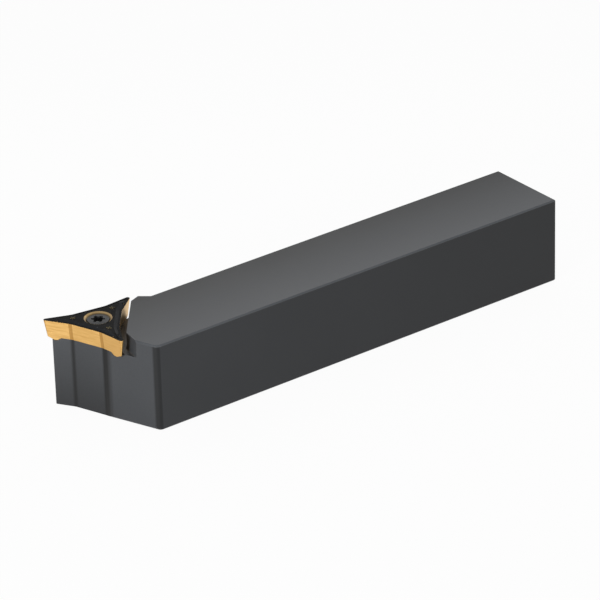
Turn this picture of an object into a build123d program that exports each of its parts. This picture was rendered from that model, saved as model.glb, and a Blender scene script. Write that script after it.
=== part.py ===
"""Left-hand profile turning tool holder with a three-cornered indexable insert.

Three loose pieces: the steel holder (shank and head in one piece), the carbide
insert and the countersunk screw that clamps it.  Sizes are in millimetres.

Frame: +X runs along the shank towards the cutting corner, +Z is up, and the
cutting corner lies on the -Y side.  The origin is on the bottom face of the
shank, on its centre line, midway along the length that a turret clamps.
"""
from build123d import *
from math import asin, atan2, cos, degrees, hypot, radians, sin, tan
import os

# --- shank -------------------------------------------------------------------
shank_width = 25.0            # across Y
shank_height = 25.0           # across Z
datum_from_rear = 60.0        # the origin stands this far in front of the rear end
edge_break = 0.4              # chamfer on the long edges and round the rear end

# --- functional lengths of the tool ------------------------------------------
overall_length = 150.0        # rear end to the foremost point of the corner
functional_width = 32.0       # far shank side to the outermost point of the corner
cutting_height = shank_height  # the cutting plane is level with the shank's top

# --- insert ------------------------------------------------------------------
corner_count = 3
corner_pitch = 25.0           # distance between two corners, tip to tip
corner_angle = 35.0           # included angle of each corner
nose_radius = 0.6
foot_nose_radius = 0.12       # the corner radius has almost run out at the foot
waist_depth = 1.26            # how far each side is drawn in, mid-way
waist_radius = 5.0            # concave blend at the two bends of each side
insert_thickness = 4.9
clearance_angle = 7.0         # flanks lean in below the cutting edge
corner_bearing = 39.0         # bisector of the active corner, below the +X axis

# --- chip former on the insert's top face -------------------------------------
land_width = 0.22             # flat land behind the cutting edge
groove_slope_width = 0.45     # plan width of the groove's falling side
groove_depth = 0.14
island_slope_width = 0.85     # plan width of the rising side of the island
groove_nose_radius = 0.36
island_height = 0.4           # island above the cutting plane
chip_dimple_radius = 0.42     # pairs of round bumps behind each corner
chip_dimple_spread = 0.55     # distance of a bump from the corner's bisector
chip_dimple_setback = 3.7     # distance of the bumps behind the tip
mark_setback = 7.8            # crossed ridges on the island, behind the tip
mark_length = 1.5
mark_width = 0.28
mark_height = 0.1             # above the island
mark_turn = 45.0              # each ridge to the corner's bisector

# --- ribs under the insert and their slots in the seat ------------------------
rib_depth = 0.8
rib_half_width = 1.15         # at the underside of the insert
rib_flank_angle = 25.0        # from the vertical
rib_start = 4.2               # inner end, from the insert's axis
rib_tip_setback = 0.95        # where the sloping end starts, behind the tip
rib_end_setback = 2.65        # where it reaches the full depth
rib_side_clearance = 0.05
rib_floor_clearance = 0.15

# --- clamping screw ------------------------------------------------------------
screw_diameter = 4.5
screw_length = 13.0           # from the top of the head
thread_clearance = 0.05       # radial, screw to tapped hole
insert_bore_clearance = 0.25  # radial, screw to insert
head_diameter = 5.9
head_rim_height = 0.25        # short cylinder above the cone
head_dome = 0.18              # rise of the domed top
head_recess = 0.4             # head rim below the insert's island
cone_half_angle = 30.0
rim_chamfer_width = 0.8       # bright ring round the head, radial
screw_tip_chamfer = 0.6
socket_lobes = 6
socket_across_lobes = 3.9
socket_across_flanks = 2.8
socket_lobe_radius = 0.5
socket_depth = 1.7
tapped_hole_extra_depth = 2.5

# --- head ----------------------------------------------------------------------
seat_margin = 0.1             # insert foot overhangs the seat by this much
seat_nose_radius = 0.5
seat_waist_radius = 2.5
front_step = 0.55             # flat front facet stands out from the seat's waist
front_facet_angle = 22.0      # the facet's normal, from the +X axis
front_corner_radius = 1.6     # front facet to shank side
flare_angle = 40.0            # head widens from the shank at this angle
flare_margin = 0.6            # flared side outside the rear corner of the insert
wall_clearance = 0.45         # insert corners to the pocket wall
rear_corner_gap = 1.75        # pocket wall to the rear corner's bisector
far_corner_gap = 3.05         # pocket wall to the far corner's bisector
wall_foot_radius = 0.4        # fillet where the pocket wall meets the seat

cut_over = 1.0                # cutting solids run past the faces they open
tolerance = 0.001


def along(angle, radius=1.0):
    """Plan vector of a length at an angle in degrees."""
    return Vector(radius * cos(radians(angle)), radius * sin(radians(angle)), 0)


def crossing(normal_a, distance_a, normal_b, distance_b):
    """Where two lines meet, each given by its normal's angle and its distance."""
    a, b = along(normal_a), along(normal_b)
    det = a.X * b.Y - a.Y * b.X
    x = (distance_a * b.Y - distance_b * a.Y) / det
    y = (distance_b * a.X - distance_a * b.X) / det
    return Vector(x, y, 0)


# --- sizes that follow from the ones above --------------------------------------
rear_x = -datum_from_rear
half_width = shank_width / 2
half_corner = corner_angle / 2
corner_turn = 360 / corner_count
side_turn = corner_turn / 2                       # a corner to the middle of a side
tip_radius = corner_pitch / 3 ** 0.5
sharp_radius = tip_radius + nose_radius * (1 / sin(radians(half_corner)) - 1)
edge_distance = sharp_radius * sin(radians(half_corner))
waist_distance = tip_radius / 2 - waist_depth
flank_inset = insert_thickness * tan(radians(clearance_angle))
seat_z = cutting_height - insert_thickness
seat_inset = flank_inset + seat_margin

nose_center = Vector(
    rear_x + overall_length - nose_radius,
    half_width - functional_width + nose_radius,
    0,
)
insert_center = nose_center - along(-corner_bearing, tip_radius - nose_radius)

head_radius = head_diameter / 2
screw_radius = screw_diameter / 2
bore_radius = screw_radius + insert_bore_clearance
rim_radius = head_radius + rim_chamfer_width
head_rim_z = island_height - head_recess          # above the cutting plane
head_top_z = head_rim_z + head_dome
cone_top_z = head_rim_z - head_rim_height
cone_foot_z = cone_top_z - (head_radius - screw_radius) / tan(radians(cone_half_angle))
screw_foot_z = head_top_z - screw_length


# Plan directions, in degrees: bisectors of the three corners and normals of the
# insert's sides, once it sits in the tool.
active_corner = -corner_bearing
far_corner = active_corner + corner_turn
rear_corner = active_corner - corner_turn
edge_turn = 90 - half_corner                      # bisector to an edge's normal
front_normal = active_corner + side_turn
outer_normal = active_corner - side_turn
wall_normal = active_corner + 180
flare_normal = -90 - flare_angle

# Distances of the head's faces from the insert's axis.  The flared side passes
# outside the rear corner and meets the shank where the head begins.
rear_nose = along(rear_corner, tip_radius - nose_radius)
flare_distance = rear_nose.dot(along(flare_normal)) + nose_radius + flare_margin
side_distance = half_width - insert_center.Y
near_side_distance = half_width + insert_center.Y
flare_start = insert_center + crossing(
    flare_normal, flare_distance, -90, near_side_distance
)
shank_length = flare_start.X - rear_x
wall_distance = (tip_radius - nose_radius) / 2 + nose_radius + wall_clearance
front_offset = waist_distance - seat_inset + front_step


def star_points(inset):
    """Plan corners of the insert's outline, drawn in by an inset.

    Each side has two straight cutting edges and a waist between them.  The
    first corner points along +X and the others follow, one corner turn apart.
    """
    edge = edge_distance - inset
    waist = waist_distance - inset
    points = []
    for index in range(corner_count):
        corner = index * corner_turn
        next_corner = corner + corner_turn
        side = corner + side_turn
        points.append(along(corner, edge / sin(radians(half_corner))))
        points.append(crossing(corner + edge_turn, edge, side, waist))
        points.append(crossing(side, waist, next_corner - edge_turn, edge))
    return points


def outline_face(points, radii, z):
    """Flat face at a height, from corner points with a fillet at each one."""
    wire = FilletPolyline(*points, radius=radii, close=True)
    return Pos(0, 0, z) * make_face(wire)


def star_face(inset, corner_fillet, bend_fillet, z):
    radii = [corner_fillet, bend_fillet, bend_fillet] * corner_count
    return outline_face(star_points(inset), radii, z)


def place_on_head(shape):
    """Move a piece from the insert's own frame to its place in the tool."""
    turned = Rot(0, 0, -corner_bearing) * shape
    return Pos(insert_center.X, insert_center.Y, cutting_height) * turned


def keel(half_width_top, depth, inner, outer):
    """Bar of trapezoid section along +X, hanging below z = 0."""
    half_width_foot = half_width_top - depth * tan(radians(rib_flank_angle))
    section = Polyline(
        (inner, -half_width_top, 0),
        (inner, half_width_top, 0),
        (inner, half_width_foot, -depth),
        (inner, -half_width_foot, -depth),
        close=True,
    )
    return extrude(make_face(section), amount=outer - inner, dir=(1, 0, 0))


def rib():
    """Locating rib, full depth inside and sloping up to nothing near the tip."""
    slope_top = tip_radius - rib_tip_setback
    slope_foot = tip_radius - rib_end_setback
    bar = keel(rib_half_width, rib_depth, rib_start, slope_top)
    waste = Polyline(
        (slope_top, -rib_half_width, 0),
        (slope_top, -rib_half_width, -rib_depth),
        (slope_foot, -rib_half_width, -rib_depth),
        close=True,
    )
    return bar - extrude(make_face(waste), amount=2 * rib_half_width, dir=(0, 1, 0))


def around(shape):
    """Copies of a shape, one for each corner."""
    return [Rot(0, 0, index * corner_turn) * shape for index in range(corner_count)]


def make_insert():
    """Carbide insert; its own z = 0 is the cutting plane."""
    foot_z = -insert_thickness
    body = loft(
        [
            star_face(flank_inset, foot_nose_radius, waist_radius, foot_z),
            star_face(0, nose_radius, waist_radius, 0),
        ],
        ruled=True,
    )

    # The chip groove sinks behind the land, and the island rises out of it.
    groove_foot = land_width + groove_slope_width
    island_top = groove_foot + island_slope_width
    groove = loft(
        [
            star_face(groove_foot, groove_nose_radius, waist_radius, -groove_depth),
            star_face(land_width, groove_nose_radius, waist_radius, 0),
        ],
        ruled=True,
    )
    island = loft(
        [
            star_face(groove_foot, groove_nose_radius, waist_radius, -groove_depth),
            star_face(island_top, groove_nose_radius, waist_radius, island_height),
        ],
        ruled=True,
    )
    body = body - groove + island
    dimples = []
    for side in (-1, 1):
        x = tip_radius - chip_dimple_setback
        center = Pos(x, side * chip_dimple_spread, -groove_depth)
        dimples += around(center * Sphere(chip_dimple_radius))
    for raised in dimples + around(corner_mark()):
        body += raised

    # Ribs carry the flanks on downwards and end in a slope behind each corner.
    rib_inset = flank_inset + rib_depth * tan(radians(clearance_angle))
    skirt = loft(
        [
            star_face(rib_inset, foot_nose_radius, waist_radius, foot_z - rib_depth),
            star_face(flank_inset, foot_nose_radius, waist_radius, foot_z),
        ],
        ruled=True,
    )
    for bar in around(Pos(0, 0, foot_z) * rib()):
        body += bar & skirt
    return body - insert_bore()


def corner_mark():
    """Two crossed ridges that stand on the island behind a corner."""
    bar = Box(
        mark_length,
        mark_width,
        island_height + mark_height,
        align=(Align.CENTER, Align.CENTER, Align.MIN),
    )
    cross = Rot(0, 0, mark_turn) * bar + Rot(0, 0, -mark_turn) * bar
    return Pos(tip_radius - mark_setback, 0, 0) * cross


def insert_bore():
    """Stepped countersink and bore of the insert, as a solid to cut away."""
    over = island_height + cut_over
    under = -insert_thickness - rib_depth - cut_over
    bore_z = cone_top_z - (head_radius - bore_radius) / tan(radians(cone_half_angle))
    section = Polyline(
        (0, 0, over),
        (rim_radius, 0, over),
        (rim_radius, 0, island_height),
        (head_radius, 0, cone_top_z),
        (bore_radius, 0, bore_z),
        (bore_radius, 0, under),
        (0, 0, under),
        close=True,
    )
    return revolve(make_face(section), axis=Axis.Z)


def make_screw():
    """Countersunk six-lobe screw, in the insert's frame."""
    dome_radius = (head_radius ** 2 + head_dome ** 2) / (2 * head_dome)
    dome_mid = head_radius / 2
    dome_mid_z = head_top_z - dome_radius + (dome_radius ** 2 - dome_mid ** 2) ** 0.5
    crown = ThreePointArc(
        (head_radius, 0, head_rim_z),
        (dome_mid, 0, dome_mid_z),
        (0, 0, head_top_z),
    )
    side = Polyline(
        (0, 0, head_top_z),
        (0, 0, screw_foot_z),
        (screw_radius - screw_tip_chamfer, 0, screw_foot_z),
        (screw_radius, 0, screw_foot_z + screw_tip_chamfer),
        (screw_radius, 0, cone_foot_z),
        (head_radius, 0, cone_top_z),
        (head_radius, 0, head_rim_z),
    )
    screw = revolve(make_face(Wire([crown] + side.edges())), axis=Axis.Z)
    return screw - drive_socket()


def drive_socket():
    """Six-lobe recess, as a solid to cut away."""
    lobe_place = socket_across_lobes / 2 - socket_lobe_radius
    lobe_turn = 360 / socket_lobes
    profile = Circle(socket_across_flanks / 2)
    for index in range(socket_lobes):
        center = along(lobe_turn * index, lobe_place)
        profile += Pos(center.X, center.Y) * Circle(socket_lobe_radius)
    top = head_top_z + cut_over
    floor = head_top_z - socket_depth
    return Pos(0, 0, floor) * extrude(profile, amount=top - floor)


def head():
    """Full-height block that follows the insert's outline on its free sides.

    Its rear side is the line of the flare, which runs on through the shank.
    """
    edge = edge_distance - seat_inset
    waist = waist_distance - seat_inset
    corners = [
        (crossing(90, side_distance, flare_normal, flare_distance), 0),
        (crossing(flare_normal, flare_distance, rear_corner + edge_turn, edge), 0),
        (crossing(rear_corner + edge_turn, edge, outer_normal, waist), seat_waist_radius),
        (crossing(outer_normal, waist, active_corner - edge_turn, edge), seat_waist_radius),
        (along(active_corner, edge / sin(radians(half_corner))), seat_nose_radius),
        (crossing(active_corner + edge_turn, edge, front_normal, waist), seat_waist_radius),
        (crossing(front_normal, waist, far_corner - edge_turn, edge), seat_waist_radius),
        (crossing(far_corner - edge_turn, edge, front_facet_angle, front_offset), 0),
        (
            crossing(front_facet_angle, front_offset, 90, side_distance),
            front_corner_radius,
        ),
    ]
    points = [point + insert_center for point, _ in corners]
    radii = [radius for _, radius in corners]
    return extrude(outline_face(points, radii, 0), amount=shank_height)


def pocket():
    """Room over the seat, open towards the free sides, as a solid to cut away."""
    wall_ends = [
        crossing(rear_corner - 90, rear_corner_gap, wall_normal, wall_distance),
        crossing(wall_normal, wall_distance, far_corner + 90, far_corner_gap),
    ]
    reach = 2 * sharp_radius
    corners = [
        wall_ends[0] + along(rear_corner, reach),
        wall_ends[0],
        wall_ends[1],
        wall_ends[1] + along(far_corner, reach),
        along(active_corner, 2 * reach),
    ]
    outline = Polyline(*[point + insert_center for point in corners], close=True)
    over = shank_height - seat_z + cut_over
    return extrude(Pos(0, 0, seat_z) * make_face(outline), amount=over, dir=(0, 0, 1))


def make_holder():
    """Shank and head in one piece, with the pocket, rib slots and tapped hole."""
    shank = Pos(rear_x + shank_length / 2, 0, shank_height / 2) * Box(
        shank_length, shank_width, shank_height
    )
    holder = break_edges(shank + head() - pocket())
    holder = round_wall_foot(holder)

    slot_half_width = rib_half_width + rib_side_clearance
    slot = keel(slot_half_width, rib_depth + rib_floor_clearance, 0, 2 * sharp_radius)
    for bar in around(Pos(0, 0, -insert_thickness) * slot):
        holder -= place_on_head(bar)
    hole_depth = tapped_hole_extra_depth - screw_foot_z
    hole = Pos(0, 0, -hole_depth) * Cylinder(
        screw_radius + thread_clearance,
        hole_depth,
        align=(Align.CENTER, Align.CENTER, Align.MIN),
    )
    return holder - place_on_head(hole)


def break_edges(holder):
    """Chamfer the shank's long edges and its rear end."""
    rear_edges = holder.edges().filter_by_position(Axis.X, rear_x, rear_x)
    long_edges = [
        edge
        for edge in holder.edges().filter_by(Axis.X)
        if edge.center().Z < edge_break or edge.center().Z > shank_height - edge_break
    ]
    return chamfer(list(rear_edges) + long_edges, edge_break)


def round_wall_foot(holder):
    """Fillet where the pocket's walls meet the seat."""
    walls = [
        (wall_normal, wall_distance),
        (rear_corner - 90, rear_corner_gap),
        (far_corner + 90, far_corner_gap),
    ]

    def at_wall(edge):
        spot = edge.center() - insert_center
        offsets = [spot.dot(along(normal)) - distance for normal, distance in walls]
        return min(abs(offset) for offset in offsets) < tolerance

    seat_edges = holder.edges().filter_by_position(
        Axis.Z, seat_z - tolerance, seat_z + tolerance
    )
    return fillet(seat_edges.filter_by(at_wall), wall_foot_radius)


def main():
    os.makedirs("parts", exist_ok=True)
    pieces = {
        "tool_holder": make_holder(),
        "cutting_insert": place_on_head(make_insert()),
        "clamping_screw": place_on_head(make_screw()),
    }
    for name, piece in pieces.items():
        export_step(piece, f"parts/{name}.step")


main()
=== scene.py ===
"""Turning tool holder: finishes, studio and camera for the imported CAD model.

Lengths are in metres and angles in degrees, in the row frame: +X along the shank
towards the cutting corner, +Z up, the cutting corner on the -Y side.
"""

import math

import bpy
from mathutils import Matrix, Vector


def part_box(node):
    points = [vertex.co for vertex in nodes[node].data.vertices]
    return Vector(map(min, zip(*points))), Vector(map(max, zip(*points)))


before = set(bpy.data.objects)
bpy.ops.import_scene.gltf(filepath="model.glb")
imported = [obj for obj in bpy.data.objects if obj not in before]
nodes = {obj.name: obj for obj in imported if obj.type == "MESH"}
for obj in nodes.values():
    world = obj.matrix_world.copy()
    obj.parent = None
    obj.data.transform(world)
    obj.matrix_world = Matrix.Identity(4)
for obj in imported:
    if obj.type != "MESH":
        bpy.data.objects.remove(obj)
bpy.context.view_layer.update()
scene = bpy.context.scene


# --- places on the tool -------------------------------------------------------------

SHANK_SIDES = (-0.0125, 0.0125)  # near the cutting corner, away from it
REAR_END, HEAD_END = -0.06, 0.075  # ends of the run that the sides' tone follows
FRONT_FOOT, FRONT_TOP = 0.0, 0.02  # heights of the head's front

# The insert stands round the clamping screw.
low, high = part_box("clamping_screw")
INSERT_CENTER = ((low.x + high.x) / 2, (low.y + high.y) / 2)
INSERT_TURN = -39.0  # the cutting corner's bisector
CUTTING_PLANE = 0.025
CORNER_TURN = 120.0  # from one corner of the insert to the next
EDGE_TURN = 12.5  # the two edges of a side turn this much from the side
UPWARD = 0.2  # chip face above this rise of the normal, flank below

# Heights from the cutting plane, and radii from the insert's axis.
CHIP_FACE_FOOT = -0.0004
ISLAND_TOP = 0.0004
ABOVE_ISLAND = ISLAND_TOP + 0.00001
MARK_FOOT, MARK_TOP = ISLAND_TOP + 0.00005, ISLAND_TOP + 0.00009
RIM_RADIUS = 0.00377
DEEP_FROM, DEEP_TO = 0.00352, 0.0032


# --- painted light and shade on the holder's treated steel, as factors of its colour ---

# Painted light: the top lighter towards the side away from the cutting corner, the sides
# lighter towards the head, the front lighter towards its top, and the pocket's wall
# lighter.
TOP_PAINTED_LIGHT = (0.45, 3.1)  # across the shank's top
SIDE_PAINTED_LIGHT = (0.56, 1.12)  # along the shank's sides
FRONT_PAINTED_RISE = (0.45, 1.25)  # factor from the foot to the top of the front
FACET_START = -0.0026  # the flat front facet lies on the +Y side of this
FACET_PAINTED_RISE, FACET_SHARE = 1.1, 0.75  # its own factor, and that factor's share
POCKET_PAINTED_LIGHT = 1.9  # the pocket's wall

# Head's front, by its place across the tool: edge, facet, hollow, facet, hollow,
# flat front facet and rounded corner.
# Painted light on the facets; painted shade at the edge, in the hollows and on the
# rounded corner.
HEAD_PAINTED_TONES = (
    (-0.0190, 0.2),
    (-0.0180, 0.2),
    (-0.0177, 1.6),
    (-0.0136, 1.55),
    (-0.0130, 0.25),
    (-0.0126, 0.25),
    (-0.0120, 1.22),
    (-0.0043, 1.32),
    (-0.0037, 0.0),
    (-0.0026, 0.0),
    (-0.0009, 1.5),
    (0.0108, 1.6),
    (0.0114, 0.3),
    (0.0125, 0.4),
)
RAMP_TOP = 2.0  # the colour ramp holds the tones as shares of this


# --- colours, linear ----------------------------------------------------------------

STEEL_DARK, STEEL_LIGHT = (0.0212, 0.0228, 0.0252), (0.0242, 0.0258, 0.0282)
STEEL_WORN = (0.12, 0.12, 0.125)

GOLD_DARK, GOLD_LIGHT = (0.69, 0.428, 0.148), (0.76, 0.475, 0.172)
GOLD_GRAIN_AND_SHADE = (0.50, 0.285, 0.085)
GOLD_STREAK = (0.46, 0.245, 0.062)
GOLD_BEND_SHADE = (0.33, 0.165, 0.036)
GOLD_PAINTED_LIGHT_POCKET_SIDE = (0.95, 0.60, 0.20)
GOLD_BORE_SHADE = (0.24, 0.18, 0.10)
GOLD_DEEP_SHADE = (0.045, 0.034, 0.02)

BLACK_DARK, BLACK_LIGHT = (0.002, 0.002, 0.0018), (0.009, 0.0090, 0.0085)
BLACK_SPECK = (0.16, 0.16, 0.165)
BLACK_SLOPE_HIGHLIGHT = (0.030, 0.032, 0.036)
BLACK_WORN = (0.062, 0.056, 0.042)
BLACK_MARK = (0.13, 0.115, 0.065)

SCREW_DARK, SCREW_LIGHT = (0.026, 0.027, 0.029), (0.040, 0.041, 0.043)
SCREW_WORN = (0.16, 0.155, 0.14)

MIDDLE = (0.3, 0.7)  # the run that a noise's values fill


# --- node helpers -------------------------------------------------------------------


def new_material(name):
    mat = bpy.data.materials.new(name)
    mat.use_nodes = True
    mat.node_tree.nodes.clear()
    return mat, mat.node_tree


def node(tree, kind, **settings):
    """Node with its settings; in_Some_Name=value sets the socket Some Name."""
    made = tree.nodes.new(kind)
    for key, value in settings.items():
        if key.startswith("in_"):
            made.inputs[key[3:].replace("_", " ")].default_value = value
        else:
            setattr(made, key, value)
    return made


def feed(tree, value, socket):
    """Sets a socket to a number or colour, or links an output to it."""
    if isinstance(value, (int, float)):
        socket.default_value = value
    elif isinstance(value, tuple):
        socket.default_value = (*value, 1.0)
    else:
        tree.links.new(value, socket)


def math_node(tree, operation, *values):
    made = node(tree, "ShaderNodeMath", operation=operation)
    for value, socket in zip(values, made.inputs):
        feed(tree, value, socket)
    return made.outputs[0]


def times(tree, a, b):
    return math_node(tree, "MULTIPLY", a, b)


def remap(tree, value, source, target=(0.0, 1.0), smooth=False):
    """Maps a value from one run of numbers to another, and holds it inside."""
    made = node(
        tree,
        "ShaderNodeMapRange",
        clamp=True,
        interpolation_type="SMOOTHSTEP" if smooth else "LINEAR",
        in_From_Min=source[0],
        in_From_Max=source[1],
        in_To_Min=target[0],
        in_To_Max=target[1],
    )
    tree.links.new(value, made.inputs["Value"])
    return made.outputs["Result"]


def mix_color(tree, factor, a, b):
    made = node(tree, "ShaderNodeMix", data_type="RGBA")
    for value, index in ((factor, 0), (a, 6), (b, 7)):
        feed(tree, value, made.inputs[index])
    return made.outputs[2]


def mix_number(tree, factor, a, b):
    made = node(tree, "ShaderNodeMix", data_type="FLOAT")
    for value, index in ((factor, 0), (a, 2), (b, 3)):
        feed(tree, value, made.inputs[index])
    return made.outputs[0]


def cover(tree, color, mask, share, over):
    """Lays a colour over another where a mask is 1, with a share of its strength."""
    return mix_color(tree, times(tree, mask, share), color, over)


def noise(tree, vector, scale, detail=3.0, roughness=0.55):
    """Noise at a scale, or at one scale for each axis."""
    if isinstance(scale, tuple):
        made = node(tree, "ShaderNodeVectorMath", operation="MULTIPLY")
        tree.links.new(vector, made.inputs[0])
        made.inputs[1].default_value = scale
        vector, scale = made.outputs[0], 1.0
    made = node(
        tree,
        "ShaderNodeTexNoise",
        in_Scale=scale,
        in_Detail=detail,
        in_Roughness=roughness,
    )
    tree.links.new(vector, made.inputs["Vector"])
    return made.outputs["Fac"]


def ramp(tree, value, stops):
    """Grey level along a value, from pairs of place and level."""
    made = tree.nodes.new("ShaderNodeValToRGB")
    tree.links.new(value, made.inputs["Fac"])
    points = made.color_ramp.elements
    while len(points) < len(stops):
        points.new(0.5)
    for point, (place, level) in zip(points, stops):
        point.position = place
        point.color = (level, level, level, 1.0)
    return made.outputs["Color"]


def object_place(tree):
    return tree.nodes.new("ShaderNodeTexCoord").outputs["Object"]


def true_normal(tree):
    return tree.nodes.new("ShaderNodeNewGeometry").outputs["True Normal"]


def split(tree, vector):
    """X, Y and Z of a vector, by name."""
    made = tree.nodes.new("ShaderNodeSeparateXYZ")
    tree.links.new(vector, made.inputs[0])
    return made.outputs


def from_insert_center(tree, place):
    made = node(tree, "ShaderNodeVectorMath", operation="SUBTRACT")
    tree.links.new(place, made.inputs[0])
    made.inputs[1].default_value = (*INSERT_CENTER, CUTTING_PLANE)
    return made.outputs[0]


def into_insert_frame(tree, vector, center=(0.0, 0.0)):
    """Turns a vector so that the cutting corner's bisector becomes +X."""
    made = node(
        tree,
        "ShaderNodeVectorRotate",
        rotation_type="Z_AXIS",
        in_Center=(*center, 0.0),
        in_Angle=math.radians(-INSERT_TURN),
    )
    tree.links.new(vector, made.inputs["Vector"])
    return made.outputs[0]


def rounded_normal(tree, radius):
    """Normal with the edges rounded off, to catch a thin line of light."""
    return node(tree, "ShaderNodeBevel", samples=6, in_Radius=radius).outputs["Normal"]


def edge_amount(tree, radius):
    """0 on flat faces, rising to 1 on sharp edges."""
    bevel = node(tree, "ShaderNodeBevel", samples=8, in_Radius=radius)
    geometry = tree.nodes.new("ShaderNodeNewGeometry")
    dot = node(tree, "ShaderNodeVectorMath", operation="DOT_PRODUCT")
    tree.links.new(bevel.outputs["Normal"], dot.inputs[0])
    tree.links.new(geometry.outputs["Normal"], dot.inputs[1])
    return remap(tree, dot.outputs["Value"], (1.0, 0.86))


def bump(tree, height, strength, distance, normal=None):
    made = node(tree, "ShaderNodeBump", in_Strength=strength, in_Distance=distance)
    tree.links.new(height, made.inputs["Height"])
    if normal is not None:
        tree.links.new(normal, made.inputs["Normal"])
    return made.outputs["Normal"]


def finish_material(tree, shader, **links):
    """Links the shader's sockets, then the shader to the output."""
    for name, value in links.items():
        tree.links.new(value, shader.inputs[name.replace("_", " ")])
    out = tree.nodes.new("ShaderNodeOutputMaterial")
    tree.links.new(shader.outputs[0], out.inputs["Surface"])


def assign(obj, mat):
    for slot in obj.material_slots:
        slot.material = mat
    if not obj.material_slots:
        obj.data.materials.append(mat)


# --- holder: fine satin, dark grey treated steel ------------------------------------


def painted_light_and_shade(tree, place):
    """Painted light and shade on the treated steel: each milled facet of the head's
    front painted lighter or darker by its place, with painted shade darkest in the
    hollows and on the rounded corner, and painted light across the top, along the sides,
    up the front and on the pocket's wall."""
    spot = split(tree, place)
    facing = split(tree, true_normal(tree))
    top = remap(tree, spot["Y"], SHANK_SIDES, TOP_PAINTED_LIGHT)
    side = remap(tree, spot["X"], (REAR_END, HEAD_END), SIDE_PAINTED_LIGHT)

    start, end = HEAD_PAINTED_TONES[0][0], HEAD_PAINTED_TONES[-1][0]
    stops = [((y - start) / (end - start), tone / RAMP_TOP) for y, tone in HEAD_PAINTED_TONES]
    front = ramp(tree, remap(tree, spot["Y"], (start, end)), stops)
    rise = remap(tree, spot["Z"], (FRONT_FOOT, FRONT_TOP), FRONT_PAINTED_RISE)
    on_facet = math_node(tree, "GREATER_THAN", spot["Y"], FACET_START)
    rise = mix_number(tree, times(tree, on_facet, FACET_SHARE), rise, FACET_PAINTED_RISE)
    front = times(tree, times(tree, front, RAMP_TOP), rise)
    in_pocket = math_node(tree, "LESS_THAN", facing["Y"], -0.3)
    front = mix_number(tree, in_pocket, front, POCKET_PAINTED_LIGHT)

    is_front = remap(tree, facing["X"], (0.1, 0.25))
    is_top = math_node(tree, "GREATER_THAN", facing["Z"], 0.6)
    return mix_number(tree, is_top, mix_number(tree, is_front, side, front), top)


def blackened_steel():
    mat, tree = new_material("blackened_steel")
    place = object_place(tree)
    cloud = remap(tree, noise(tree, place, 38.0), MIDDLE)
    grain = noise(tree, place, 5200.0, roughness=0.7)
    lay = noise(tree, place, (90.0, 2600.0, 2600.0), roughness=0.6)
    broken = noise(tree, place, 900.0, roughness=0.6)
    wear = times(tree, edge_amount(tree, 0.00035), remap(tree, broken, (0.42, 0.62)))

    fleck = remap(tree, grain, (0.35, 0.75), (-0.15, 0.2))
    # Flecks of the grain, times the painted light and shade.
    flecks_and_painted_light = times(tree, math_node(tree, "ADD", fleck, 1.0), painted_light_and_shade(tree, place))
    tinted = node(tree, "ShaderNodeVectorMath", operation="SCALE")
    tree.links.new(mix_color(tree, cloud, STEEL_DARK, STEEL_LIGHT), tinted.inputs[0])
    tree.links.new(flecks_and_painted_light, tinted.inputs["Scale"])

    satin = remap(tree, cloud, (0.0, 1.0), (0.40, 0.44))
    rough = math_node(tree, "ADD", satin, remap(tree, grain, MIDDLE, (-0.03, 0.03)))
    height = math_node(tree, "ADD", times(tree, lay, 0.5), grain)

    finish_material(
        tree,
        node(tree, "ShaderNodeBsdfPrincipled", in_Specular_IOR_Level=0.28),
        Base_Color=cover(tree, tinted.outputs[0], wear, 0.35, STEEL_WORN),
        Roughness=rough,
        Normal=bump(tree, height, 0.12, 0.00002, rounded_normal(tree, 0.00018)),
    )
    return mat


# --- insert: golden ground flanks, black chip face ----------------------------------


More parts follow.
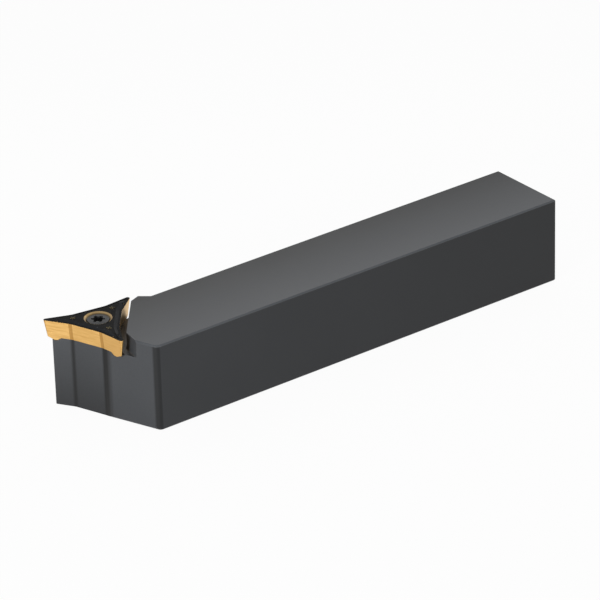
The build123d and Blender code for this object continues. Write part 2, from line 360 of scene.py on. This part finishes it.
def coated_carbide():
    mat, tree = new_material("coated_carbide")
    place = into_insert_frame(tree, object_place(tree), INSERT_CENTER)
    place = from_insert_center(tree, place)
    spot = split(tree, place)
    facing = split(tree, into_insert_frame(tree, true_normal(tree)))

    squares = [times(tree, spot[axis], spot[axis]) for axis in "XY"]
    radius = math_node(tree, "SQRT", math_node(tree, "ADD", *squares))
    outside_bore = math_node(tree, "GREATER_THAN", radius, RIM_RADIUS)
    raised = math_node(tree, "GREATER_THAN", spot["Z"], CHIP_FACE_FOOT)
    upward = math_node(tree, "GREATER_THAN", facing["Z"], UPWARD)
    on_island = math_node(tree, "GREATER_THAN", spot["Z"], ABOVE_ISLAND)
    upward = math_node(tree, "MAXIMUM", upward, on_island)
    chip_face = times(tree, outside_bore, times(tree, raised, upward))

    # Direction of the flank, from the middle of its side: the two edges of a side
    # stand one EDGE_TURN to its left and right, and its bends in between.
    angle = math_node(tree, "ARCTAN2", facing["Y"], facing["X"])
    degrees = times(tree, angle, 180.0 / math.pi)
    wrapped = math_node(
        tree, "MODULO", math_node(tree, "ADD", degrees, 6 * CORNER_TURN), CORNER_TURN
    )
    off_side = math_node(tree, "SUBTRACT", wrapped, CORNER_TURN / 2)
    off_bend = math_node(
        tree, "SUBTRACT", math_node(tree, "ABSOLUTE", off_side), EDGE_TURN / 2
    )
    bend = remap(tree, math_node(tree, "ABSOLUTE", off_bend), (6.2, 5.0), smooth=True)
    flank = math_node(tree, "LESS_THAN", facing["Z"], UPWARD)
    bend = times(tree, bend, times(tree, flank, outside_bore))
    along_side_shade = remap(tree, off_side, (EDGE_TURN, -EDGE_TURN))
    pocket_side = math_node(
        tree, "GREATER_THAN", math_node(tree, "ABSOLUTE", degrees), CORNER_TURN
    )

    cloud = remap(tree, noise(tree, place, 260.0), MIDDLE)
    grain = noise(tree, place, (500.0, 500.0, 9000.0), roughness=0.6)
    streak = noise(tree, place, (160.0, 160.0, 2400.0), detail=2.0, roughness=0.5)
    gold = mix_color(tree, cloud, GOLD_DARK, GOLD_LIGHT)
    gold = mix_color(tree, remap(tree, grain, (0.35, 0.7), (0.0, 0.5)), gold, GOLD_GRAIN_AND_SHADE)
    streak = remap(tree, streak, (0.45, 0.68), (0.0, 0.55))
    gold = mix_color(tree, streak, gold, GOLD_STREAK)
    # Painted shade: each flank darker towards one of its edges, in the grain's colour.
    gold = cover(tree, gold, along_side_shade, 0.62, GOLD_GRAIN_AND_SHADE)
    # Painted shade in the concave bends of the flanks.
    gold = cover(tree, gold, bend, 0.72, GOLD_BEND_SHADE)
    # Painted light: the flanks that face the pocket, where shade falls, lighter gold.
    gold = cover(tree, gold, pocket_side, 0.9, GOLD_PAINTED_LIGHT_POCKET_SIDE)
    # Painted shade down the bore, darkest nearest the insert's axis.
    in_bore = math_node(tree, "SUBTRACT", 1.0, outside_bore)
    gold = cover(tree, gold, in_bore, 0.8, GOLD_BORE_SHADE)
    gold = cover(tree, gold, remap(tree, radius, (DEEP_FROM, DEEP_TO)), 0.8, GOLD_DEEP_SHADE)

    speck = noise(tree, place, 1900.0, detail=2.0, roughness=0.5)
    sheen = remap(tree, noise(tree, place, 420.0), MIDDLE)
    black = mix_color(tree, sheen, BLACK_DARK, BLACK_LIGHT)
    black = cover(tree, black, remap(tree, speck, (0.68, 0.76)), 0.5, BLACK_SPECK)
    # Painted highlight: the chip face's sloping faces lighter.
    black = cover(tree, black, remap(tree, facing["Z"], (0.99, 0.9)), 0.45, BLACK_SLOPE_HIGHLIGHT)
    black = cover(tree, black, edge_amount(tree, 0.00012), 0.5, BLACK_WORN)
    marked = remap(tree, spot["Z"], (MARK_FOOT, MARK_TOP))
    black = cover(tree, black, marked, 0.6, BLACK_MARK)

    rough = remap(tree, chip_face, (0.0, 1.0), (0.40, 0.5))
    rough = math_node(tree, "ADD", rough, remap(tree, grain, MIDDLE, (-0.04, 0.05)))
    rough = times(tree, rough, remap(tree, pocket_side, (0.0, 1.0), (1.0, 0.75)))
    metal = remap(tree, chip_face, (0.0, 1.0), (0.6, 0.0))
    metal = times(tree, metal, remap(tree, pocket_side, (0.0, 1.0), (1.0, 1.5)))
    height = math_node(tree, "ADD", times(tree, grain, 0.6), speck)

    finish_material(
        tree,
        node(tree, "ShaderNodeBsdfPrincipled", in_Specular_IOR_Level=0.035),
        Base_Color=mix_color(tree, chip_face, gold, black),
        Roughness=rough,
        Metallic=metal,
        Normal=bump(tree, height, 0.18, 0.00002, rounded_normal(tree, 0.00006)),
    )
    return mat


# --- screw: dark, lightly oiled steel -----------------------------------------------


def screw_steel():
    mat, tree = new_material("screw_steel")
    place = from_insert_center(tree, object_place(tree))
    rings = node(
        tree,
        "ShaderNodeTexWave",
        wave_type="RINGS",
        rings_direction="Z",
        in_Scale=900.0,
        in_Distortion=1.2,
        in_Detail=2.0,
    )
    tree.links.new(place, rings.inputs["Vector"])
    grain = noise(tree, place, 4200.0, roughness=0.6)
    color = mix_color(tree, remap(tree, grain, MIDDLE), SCREW_DARK, SCREW_LIGHT)
    height = math_node(tree, "ADD", rings.outputs["Fac"], grain)

    finish_material(
        tree,
        node(
            tree, "ShaderNodeBsdfPrincipled", in_Metallic=0.25, in_Specular_IOR_Level=0.2
        ),
        Base_Color=cover(tree, color, edge_amount(tree, 0.00015), 0.4, SCREW_WORN),
        Roughness=remap(tree, grain, MIDDLE, (0.34, 0.46)),
        Normal=bump(tree, height, 0.15, 0.00001),
    )
    return mat


assign(nodes["tool_holder"], blackened_steel())
assign(nodes["cutting_insert"], coated_carbide())
assign(nodes["clamping_screw"], screw_steel())


# --- studio -------------------------------------------------------------------------

FLOOR_HALF = 3.0
FLOOR_LEVEL = -0.0001  # just under the shank, so that the two faces don't meet
FLOOR_COLOR = (0.92, 0.92, 0.92, 1.0)
FLOOR_WHITE_SHARE = 0.95  # the rest keeps the object's shadow
WORLD_LEVEL = 0.45  # light that the world gives; it looks plain white
HEAD_SPOT = (0.07, 0, 0.012)
SHANK_TOP = (0, 0, 0.025)


def seen_directly(tree):
    """1 for what the camera sees by itself, in gloss or through glass."""
    path = tree.nodes.new("ShaderNodeLightPath").outputs
    seen = math_node(tree, "MAXIMUM", path["Is Camera Ray"], path["Is Glossy Ray"])
    return math_node(tree, "MAXIMUM", seen, path["Is Transmission Ray"])


def make_floor():
    mesh = bpy.data.meshes.new("studio_floor")
    turns = ((-1, -1), (1, -1), (1, 1), (-1, 1))
    corners = [(x * FLOOR_HALF, y * FLOOR_HALF, FLOOR_LEVEL) for x, y in turns]
    mesh.from_pydata(corners, [], [(0, 1, 2, 3)])
    floor = bpy.data.objects.new("studio_floor", mesh)
    scene.collection.objects.link(floor)

    mat, tree = new_material("studio_floor")
    diffuse = node(tree, "ShaderNodeBsdfDiffuse", in_Color=FLOOR_COLOR)
    white = node(tree, "ShaderNodeEmission", in_Color=(1, 1, 1, 1), in_Strength=1.0)
    mix = tree.nodes.new("ShaderNodeMixShader")
    tree.links.new(times(tree, seen_directly(tree), FLOOR_WHITE_SHARE), mix.inputs[0])
    tree.links.new(diffuse.outputs[0], mix.inputs[1])
    tree.links.new(white.outputs[0], mix.inputs[2])
    finish_material(tree, mix)
    mesh.materials.append(mat)


def make_world():
    world = bpy.data.worlds.new("studio")
    scene.world = world
    world.use_nodes = True
    tree = world.node_tree
    tree.nodes.clear()
    strength = remap(tree, seen_directly(tree), (0.0, 1.0), (WORLD_LEVEL, 1.0))
    back = node(tree, "ShaderNodeBackground", in_Color=(1, 1, 1, 1))
    tree.links.new(strength, back.inputs["Strength"])
    out = tree.nodes.new("ShaderNodeOutputWorld")
    tree.links.new(back.outputs[0], out.inputs["Surface"])


def area_light(name, place, target, size, watts):
    data = bpy.data.lights.new(name, "AREA")
    data.shape = "RECTANGLE"
    data.size, data.size_y = size
    data.energy = watts
    lamp = bpy.data.objects.new(name, data)
    lamp.visible_camera = False
    lamp.location = place
    lamp.rotation_mode = "QUATERNION"
    lamp.rotation_quaternion = (Vector(target) - Vector(place)).to_track_quat("-Z", "Y")
    scene.collection.objects.link(lamp)


make_floor()
make_world()
area_light("key", (0.722, 0.237, 0.11), HEAD_SPOT, (0.16, 0.10), 4.2)
area_light("side", (-0.044, 0.648, 0.25), HEAD_SPOT, (0.5, 0.3), 0.8)
area_light("strip", (-0.068, -0.102, 0.128), SHANK_TOP, (0.60, 0.04), 0.1)


# --- camera -------------------------------------------------------------------------

AZIMUTH, ELEVATION, ROLL = 53.505, 27.087, -1.643
DISTANCE, LENS = 1.09497, 240.82  # LENS in millimetres
ASIDE, ABOVE = -0.016102, -0.002935  # aim, from the middle of the clamped length
AIM_FROM = Vector((0, 0, 0.0125))


def make_camera():
    """Long lens at the height and side of a product shot, a little rolled."""
    azimuth, elevation, roll = map(math.radians, (AZIMUTH, ELEVATION, ROLL))
    plan = math.cos(elevation)
    back = Vector(
        (plan * math.cos(azimuth), plan * math.sin(azimuth), math.sin(elevation))
    )
    right = Vector((-math.sin(azimuth), math.cos(azimuth), 0))
    up = back.cross(right)
    rolled_right = math.cos(roll) * right + math.sin(roll) * up
    rolled_up = -math.sin(roll) * right + math.cos(roll) * up
    aim = AIM_FROM + ASIDE * right + ABOVE * up

    data = bpy.data.cameras.new("camera")
    data.sensor_width = 36.0
    data.lens = LENS
    data.clip_start, data.clip_end = 0.05, 20.0
    camera = bpy.data.objects.new("camera", data)
    turn = Matrix((rolled_right, rolled_up, back)).transposed().to_4x4()
    camera.matrix_world = Matrix.Translation(aim + back * DISTANCE) @ turn
    scene.collection.objects.link(camera)
    scene.camera = camera


make_camera()
scene.view_settings.view_transform = "Standard"
